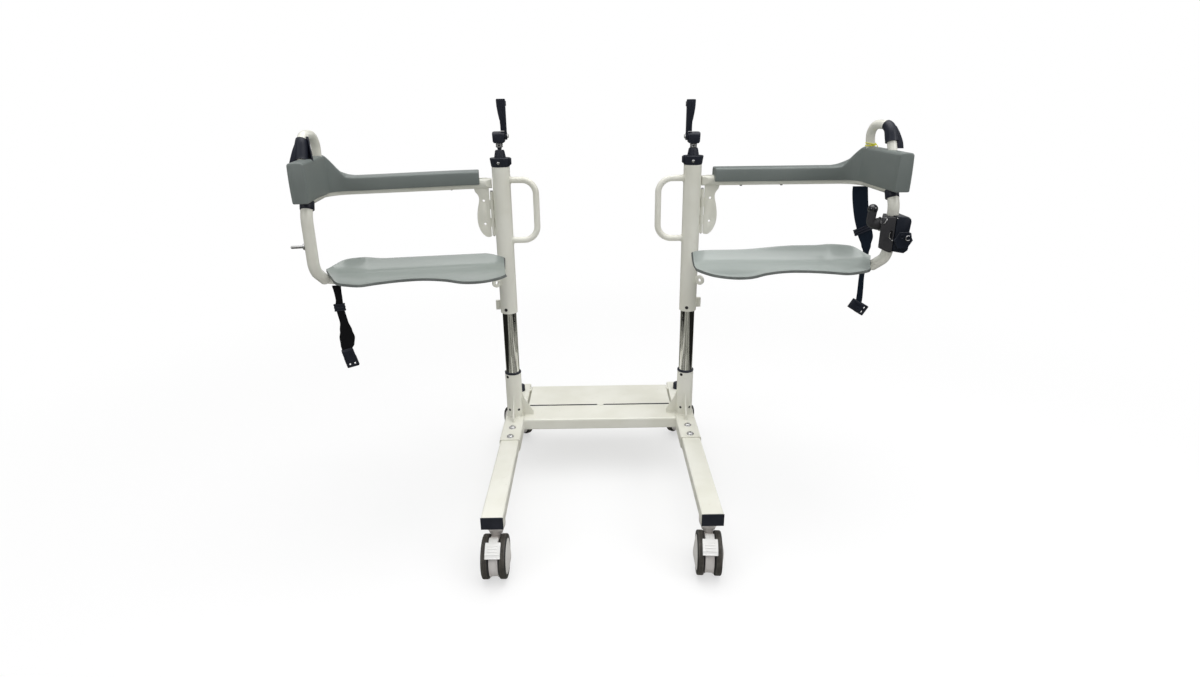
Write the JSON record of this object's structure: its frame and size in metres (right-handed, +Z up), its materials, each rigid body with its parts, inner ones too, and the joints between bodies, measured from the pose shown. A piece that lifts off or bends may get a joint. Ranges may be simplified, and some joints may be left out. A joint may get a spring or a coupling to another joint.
{
  "type": "bath transfer chair",
  "caption": "Crank-lifted transfer chair on casters, its split seat and padded arms opening down the middle on two hinged wings.",
  "frame": {"origin": "on the floor under the middle of the overall size", "axes": "+Z up, +Y the way the seat faces, +X to the right seen from behind the chair"},
  "size_m": [1.4134, 0.7848, 1.0308],
  "materials": {
    "enamel": "warm off-white powder coat, satin gloss",
    "chrome": "polished chrome plate",
    "steel": "plain zinc-plated steel",
    "black_plastic": "black moulded nylon, slight sheen",
    "pad": "grey-green moulded skin foam, satin",
    "seat": "glossy grey-green moulded plastic",
    "caster": "light grey nylon",
    "tyre": "dark grey-brown tread with light hub covers",
    "latch": "dark grey and black moulded nylon",
    "webbing": "black woven webbing"
  },
  "bodies": {
    "base": {"cross_beam": "enamel", "left_side_rail": "enamel", "left_leg": "enamel", "left_leg_cap": "black_plastic", "left_column_socket": "enamel", "left_inner_tube": "chrome", "left_guide_ring": "black_plastic", "left_lead_nut": "steel", "right_side_rail": "enamel", "right_leg": "enamel", "right_leg_cap": "black_plastic", "right_column_socket": "enamel", "right_inner_tube": "chrome", "right_guide_ring": "black_plastic", "right_lead_nut": "steel"},
    "foot_plate": {"foot_plate": "enamel"},
    "left_column": {"left_sleeve": "enamel", "left_column_cap": "black_plastic", "left_hinge_pin": "steel"},
    "left_crank": {"left_lead_screw": "steel", "left_crank_hub": "black_plastic"},
    "left_crank_arm": {"left_crank_arm": "black_plastic"},
    "left_crank_grip": {"left_crank_grip": "black_plastic"},
    "left_wing": {"left_wing_frame": "enamel", "left_seat_rail": "enamel", "left_push_loop": "enamel", "left_loop_band": "black_plastic", "left_arm_pad": "pad", "left_seat_half": "seat", "left_belt": "webbing", "left_buckle": "black_plastic", "striker_pin": "steel"},
    "right_column": {"right_sleeve": "enamel", "right_column_cap": "black_plastic", "right_hinge_pin": "steel"},
    "right_crank": {"right_lead_screw": "steel", "right_crank_hub": "black_plastic"},
    "right_crank_arm": {"right_crank_arm": "black_plastic"},
    "right_crank_grip": {"right_crank_grip": "black_plastic"},
    "right_wing": {"right_wing_frame": "enamel", "right_seat_rail": "enamel", "right_push_loop": "enamel", "right_loop_band": "black_plastic", "right_arm_pad": "pad", "right_seat_half": "seat", "right_belt": "webbing", "right_buckle": "black_plastic", "latch_body": "latch"},
    "latch_lever": {"latch_lever": "latch"},
    "near_left_caster": {"near_left_caster_housing": "caster"},
    "near_left_wheels": {"near_left_wheels": "tyre"},
    "near_left_pedal": {"near_left_brake_pedal": "caster"},
    "near_right_caster": {"near_right_caster_housing": "caster"},
    "near_right_wheels": {"near_right_wheels": "tyre"},
    "near_right_pedal": {"near_right_brake_pedal": "caster"},
    "far_left_caster": {"far_left_caster_housing": "caster"},
    "far_left_wheels": {"far_left_wheels": "tyre"},
    "far_right_caster": {"far_right_caster_housing": "caster"},
    "far_right_wheels": {"far_right_wheels": "tyre"}
  },
  "joints": [
    {"name": "foot_plate_fold", "type": "hinge", "parent": "base", "child": "foot_plate", "pos_m": [-0.0176, 0.33042, 0.158], "axis": [-1, 0, 0], "range_deg": [0, 95]},
    {"name": "left_lift", "type": "slide", "parent": "base", "child": "left_column", "axis": [0, 0, 1], "range_m": [-0.168, 0.032]},
    {"name": "left_crank_turn", "type": "hinge", "parent": "left_column", "child": "left_crank", "pos_m": [-0.2626, 0.14442, 0.93], "axis": [0, 0, 1], "range_deg": [-10090, 1930]},
    {"name": "left_crank_fold", "type": "hinge", "parent": "left_crank", "child": "left_crank_arm", "pos_m": [-0.2626, 0.14442, 0.9428], "axis": [1, 0, 0], "range_deg": [0, 90]},
    {"name": "left_grip_fold", "type": "hinge", "parent": "left_crank_arm", "child": "left_crank_grip", "pos_m": [-0.2626, 0.15322, 1.0198], "axis": [1, 0, 0], "range_deg": [0, 90]},
    {"name": "left_wing_swing", "type": "hinge", "parent": "left_column", "child": "left_wing", "pos_m": [-0.2901, 0.14442, 0.7], "axis": [0, 0, 1], "range_deg": [-14, 80.8]},
    {"name": "right_lift", "type": "slide", "parent": "base", "child": "right_column", "axis": [0, 0, 1], "range_m": [-0.168, 0.032]},
    {"name": "right_crank_turn", "type": "hinge", "parent": "right_column", "child": "right_crank", "pos_m": [0.2274, 0.14442, 0.93], "axis": [0, 0, 1], "range_deg": [-10090, 1930]},
    {"name": "right_crank_fold", "type": "hinge", "parent": "right_crank", "child": "right_crank_arm", "pos_m": [0.2274, 0.14442, 0.9368], "axis": [1, 0, 0], "range_deg": [0, 90]},
    {"name": "right_grip_fold", "type": "hinge", "parent": "right_crank_arm", "child": "right_crank_grip", "pos_m": [0.2274, 0.15322, 1.0138], "axis": [1, 0, 0], "range_deg": [0, 90]},
    {"name": "right_wing_swing", "type": "hinge", "parent": "right_column", "child": "right_wing", "pos_m": [0.2549, 0.14442, 0.7], "axis": [0, 0, 1], "range_deg": [-90.2, 5]},
    {"name": "latch_turn", "type": "hinge", "parent": "right_wing", "child": "latch_lever", "pos_m": [0.62565, -0.06929, 0.75], "axis": [1, 0.0035, 0], "range_deg": [0, 75]},
    {"name": "near_left_swivel", "type": "hinge", "parent": "base", "child": "near_left_caster", "pos_m": [-0.2626, -0.30858, 0.11], "axis": [0, 0, 1], "continuous": true},
    {"name": "near_left_roll", "type": "hinge", "parent": "near_left_caster", "child": "near_left_wheels", "pos_m": [-0.2626, -0.34058, 0.05], "axis": [1, 0, 0], "continuous": true},
    {"name": "near_left_brake", "type": "hinge", "parent": "near_left_caster", "child": "near_left_pedal", "pos_m": [-0.2626, -0.34058, 0.05], "axis": [1, 0, 0], "range_deg": [0, 12]},
    {"name": "near_right_swivel", "type": "hinge", "parent": "base", "child": "near_right_caster", "pos_m": [0.2274, -0.30858, 0.11], "axis": [0, 0, 1], "continuous": true},
    {"name": "near_right_roll", "type": "hinge", "parent": "near_right_caster", "child": "near_right_wheels", "pos_m": [0.22461, -0.34046, 0.05], "axis": [0.9962, -0.0872, 0], "continuous": true},
    {"name": "near_right_brake", "type": "hinge", "parent": "near_right_caster", "child": "near_right_pedal", "pos_m": [0.22461, -0.34046, 0.05], "axis": [0.9962, -0.0872, 0], "range_deg": [0, 12]},
    {"name": "far_left_swivel", "type": "hinge", "parent": "base", "child": "far_left_caster", "pos_m": [-0.2626, 0.31042, 0.11], "axis": [0, 0, 1], "continuous": true},
    {"name": "far_left_roll", "type": "hinge", "parent": "far_left_caster", "child": "far_left_wheels", "pos_m": [-0.28003, 0.33726, 0.05], "axis": [-0.8387, -0.5446, 0], "continuous": true},
    {"name": "far_right_swivel", "type": "hinge", "parent": "base", "child": "far_right_caster", "pos_m": [0.2274, 0.31042, 0.11], "axis": [0, 0, 1], "continuous": true},
    {"name": "far_right_roll", "type": "hinge", "parent": "far_right_caster", "child": "far_right_wheels", "pos_m": [0.24483, 0.33726, 0.05], "axis": [-0.8387, 0.5446, 0], "continuous": true}
  ],
  "couplings": [
    {"joint": "left_crank_turn", "follows": "left_lift", "rad_per_m": 1047.2},
    {"joint": "right_crank_turn", "follows": "right_lift", "rad_per_m": 1047.2}
  ]
}
